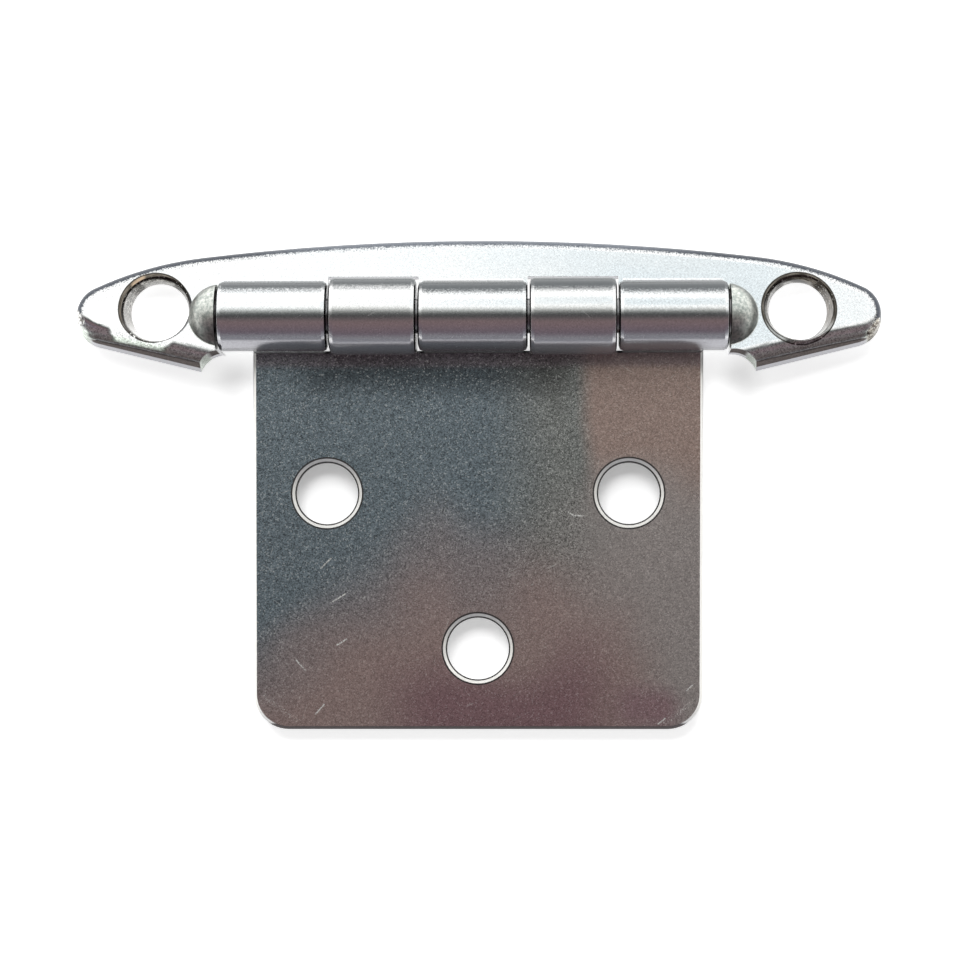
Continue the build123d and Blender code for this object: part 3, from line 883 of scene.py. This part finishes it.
back = (camera_place - camera_aim).normalized()
right = Vector((0, 1, 0)).cross(back).normalized()
up = back.cross(right)
camera = bpy.data.objects.new("camera", bpy.data.cameras.new("camera"))
camera.matrix_world = Matrix.Translation(camera_place) @ Matrix((right, up, back)).transposed().to_4x4()
camera.data.angle = 2 * math.atan(view_width / 2 / (camera_place - camera_aim).length)
bpy.context.scene.collection.objects.link(camera)
bpy.context.scene.camera = camera
print("lens:", round(camera.data.lens, 1), "mm")

# %% [markdown]
# The hinge lies on a sheet of white paper, a wide flat square just under its back. It is part of the studio and
# not of the hinge.

# %% Floor
floor_half = 2.0
floor_z = -0.05 * MM
floor_mesh = bpy.data.meshes.new("paper")
corners = [(x * floor_half, y * floor_half, floor_z) for x, y in ((-1, -1), (1, -1), (1, 1), (-1, 1))]
floor_mesh.from_pydata(corners, [], [(0, 1, 2, 3)])
floor = bpy.data.objects.new("paper", floor_mesh)
bpy.context.scene.collection.objects.link(floor)
print("paper laid,", 2 * floor_half, "m wide")

# %% [markdown]
# The ground is pure white with faint soft shadows. White paper lit by plain light falls just short of white, so
# its material adds a glow that only camera and mirror rays see. The paper's own lit part still darkens in shadow,
# and the glow adds painted light and painted shade by place. It is strongest under the wing, painted light that
# pales the shadow there. It is weak under the leaf's three holes, painted shade that keeps a clear grey there, and
# nearly gone in the slots between knuckles and plate, a painted shadow. Four soft spots of painted shade lie in
# the wing's holes and beside the domes.

# %% Where the paper glows
paper_glow = 0.66
wing_painted_light_glow = 0.86
hole_painted_shade_glow = 0.24
more_in_low_hole = 0.12
spot_shade, spot_width = 0.2, 2.6
slot_shade = 0.88
slot_y = -4.1
shade_spots = (
    ((27.9, -0.9), (27.9, -0.3)),
    ((-27.4, 0.1), (-27.3, 0.4)),
    ((-21.2, -6.0), (-21.4, -6.8)),
    ((22.8, -6.0), (23.2, -6.8)),
)

paper = bpy.data.materials.new("white paper")
paper.use_nodes = True
tree = paper.node_tree
tree.nodes.clear()
spot = place_group(tree, millimetres)
# Painted light under the wing, and painted shade in the spots, the slots and under the leaf's holes.
open_glow = between(tree, fade(tree, spot["Y"], -5.0, -1.0), paper_glow, wing_painted_light_glow)
dimmed = times(tree, strokes(tree, spot["Place"], shade_spots, spot_width, 0.0), spot_shade)
along_slot = fade(tree, spot["Aside"], 19.0, 18.2)
in_slot = all_of(tree, along_slot, fade(tree, distance_from(tree, spot["Y"], slot_y), 1.0, 0.25))
open_glow = times(tree, minus(tree, open_glow, dimmed), not_in(tree, times(tree, in_slot, slot_shade)))
hole_glow = plus(tree, times(tree, fade(tree, spot["Y"], -21.0, -25.0), more_in_low_hole), hole_painted_shade_glow)
under_hole = fade(tree, from_leaf_hole(tree, spot), 4.6, 3.8)
glow_here = between(tree, under_hole, open_glow, hole_glow)
print("paper glow from", hole_painted_shade_glow, "to", wing_painted_light_glow)

# %% [markdown]
# Light Path tells what kind of ray asks for the colour. Camera, mirror and glass rays see the glow, and the
# light that falls on things doesn't, so the white ground adds nothing to the light on the hinge.

# %% Material: white paper
def seen_directly(tree):
    """One for camera, mirror and glass rays, and nothing for the light that falls on things."""
    path = add(tree, "ShaderNodeLightPath").outputs
    return any_of(tree, path["Is Camera Ray"], path["Is Glossy Ray"], path["Is Transmission Ray"])


lit = add(tree, "ShaderNodeBsdfDiffuse", {"Color": (0.8, 0.8, 0.8, 1)})
seen = times(tree, seen_directly(tree), glow_here)
glow = add(tree, "ShaderNodeEmission", {"Color": (1, 1, 1, 1), "Strength": seen})
both = add(tree, "ShaderNodeAddShader", {0: lit.outputs[0], 1: glow.outputs[0]})
add(tree, "ShaderNodeOutputMaterial", {"Surface": both.outputs[0]})
floor_mesh.materials.append(paper)
print("material made:", paper.name)

# %% [markdown]
# Polished metal shows its surroundings, so a metal part is lit by building what it sees. A tent stands over
# the hinge, visible to mirror rays alone: a long white softbox on the wing's side, a dark gap overhead where
# the camera looks through, dim mauve cloth on the leaf's side and a paler strip down at the table. The
# knuckles are cylinders, so from edge to edge they show exactly this order. One ramp over the angle round the
# barrel's direction paints it: -90 degrees is the leaf's side, 90 the wing's.

# %% Colours of the reflection tent
tent_radius = 0.8
tent_ends = (0.55, 0.55, 0.54, 1)
tent_tones = (
    (-90, (0.34, 0.34, 0.38)),
    (-84, (0.36, 0.36, 0.40)),
    (-73, (0.22, 0.21, 0.24)),
    (-60, (0.15, 0.12, 0.145)),
    (-46, (0.18, 0.135, 0.155)),
    (-24, (0.21, 0.15, 0.155)),
    (-14, (0.13, 0.11, 0.115)),
    (-6, (0.06, 0.06, 0.062)),
    (1, (0.08, 0.085, 0.085)),
    (9, (0.30, 0.31, 0.30)),
    (17, (0.86, 0.88, 0.86)),
    (26, (1.42, 1.43, 1.42)),
    (80, (1.42, 1.43, 1.43)),
    (90, (0.90, 0.92, 0.95)),
)

tent_cloth = bpy.data.materials.new("tent cloth")
tent_cloth.use_nodes = True
tree = tent_cloth.node_tree
tree.nodes.clear()
place = add(tree, "ShaderNodeTexCoord").outputs["Object"]
split = add(tree, "ShaderNodeSeparateXYZ", {0: place}).outputs
angle = math_step(tree, "ARCTAN2", split["Y"], split["Z"])
half_turn = {"Value": angle, "From Min": -math.pi / 2, "From Max": math.pi / 2}
ramp = add(tree, "ShaderNodeValToRGB", {"Fac": add(tree, "ShaderNodeMapRange", half_turn).outputs["Result"]})
stops = ramp.color_ramp.elements
while len(stops) < len(tent_tones):
    stops.new(0.5)
for stop, (degrees, tone) in zip(stops, tent_tones):
    stop.position = (degrees + 90) / 180
    stop.color = (*tone, 1)
print("tent painted in", len(tent_tones), "tones")

# %% [markdown]
# To the right a thin bluish veil hangs before the lower part of the softbox: it is why the wing's front is
# pure white on the left and a cool grey on the right. It is thinner again past the right tip. The tent's two
# ends are grey.

# %% The tent's veil and ends
veil_blue = (0.84, 0.94, 0.98, 1)

tone = ramp.outputs["Color"]
across_veil = [fade(tree, angle, math.radians(low), math.radians(high)) for low, high in ((24, 32), (60, 46))]
past_tip = times(tree, fade(tree, split["X"], 0.07, 0.11), 0.55)
veil = all_of(tree, fade(tree, split["X"], -0.06, 0.05), not_in(tree, past_tip), *across_veil)
tone = blend(tree, veil, tone, veil_blue)
share_of_radius = math_step(tree, "DIVIDE", math_step(tree, "ABSOLUTE", split["X"]), tent_radius)
tone = blend(tree, fade(tree, share_of_radius, 0.88, 0.98), tone, tent_ends)
shine = add(tree, "ShaderNodeEmission", {"Color": tone})
add(tree, "ShaderNodeOutputMaterial", {"Surface": shine.outputs[0]})
print("material made:", tent_cloth.name)

# %% [markdown]
# The tent itself is the upper half of a ball, and hidden from all but mirror rays. It could be a flat picture
# behind the camera, but a ball closes round the hinge, so that it also looks right from the side.

# %% Reflection tent
bpy.ops.mesh.primitive_uv_sphere_add(segments=64, ring_count=32, radius=tent_radius)
tent = bpy.context.object
tent.name = "tent"
cloth = bmesh.new()
cloth.from_mesh(tent.data)
bmesh.ops.delete(cloth, geom=[v for v in cloth.verts if v.co.z < -0.001], context="VERTS")
cloth.to_mesh(tent.data)
cloth.free()
tent.data.materials.append(tent_cloth)
for kind in ("camera", "diffuse", "shadow", "transmission", "volume_scatter"):
    setattr(tent, "visible_" + kind, False)
print("tent stands,", tent_radius, "m high")

# %% [markdown]
# Shadows need a lamp. One large soft lamp stands on the wing's side, so the faint shadows fall towards the
# leaf; it is hidden from mirror rays, because the tent already shows the softbox. The world is white where it
# is seen and a plain soft grey for the light that it gives.

# %% Lamp and world
world_light = 0.33
lamp = bpy.data.objects.new("softbox", bpy.data.lights.new("softbox", "AREA"))
lamp.data.shape = "RECTANGLE"
lamp.data.size = 0.5
lamp.data.size_y = 0.35
lamp.data.energy = 4.2
lamp.location = (-0.08, 0.38, 0.45)
lamp.rotation_euler = (-lamp.location.normalized()).to_track_quat("-Z", "Y").to_euler()
lamp.visible_glossy = False
bpy.context.scene.collection.objects.link(lamp)

world = bpy.data.worlds.new("studio")
bpy.context.scene.world = world
world.use_nodes = True
tree = world.node_tree
tree.nodes.clear()
strength = between(tree, seen_directly(tree), world_light, 1.0)
sky = add(tree, "ShaderNodeBackground", {"Color": (1, 1, 1, 1), "Strength": strength})
add(tree, "ShaderNodeOutputWorld", {"Surface": sky.outputs[0]})
bpy.context.scene.view_settings.view_transform = "Standard"
print("lamp of", lamp.data.energy, "W and a white world")
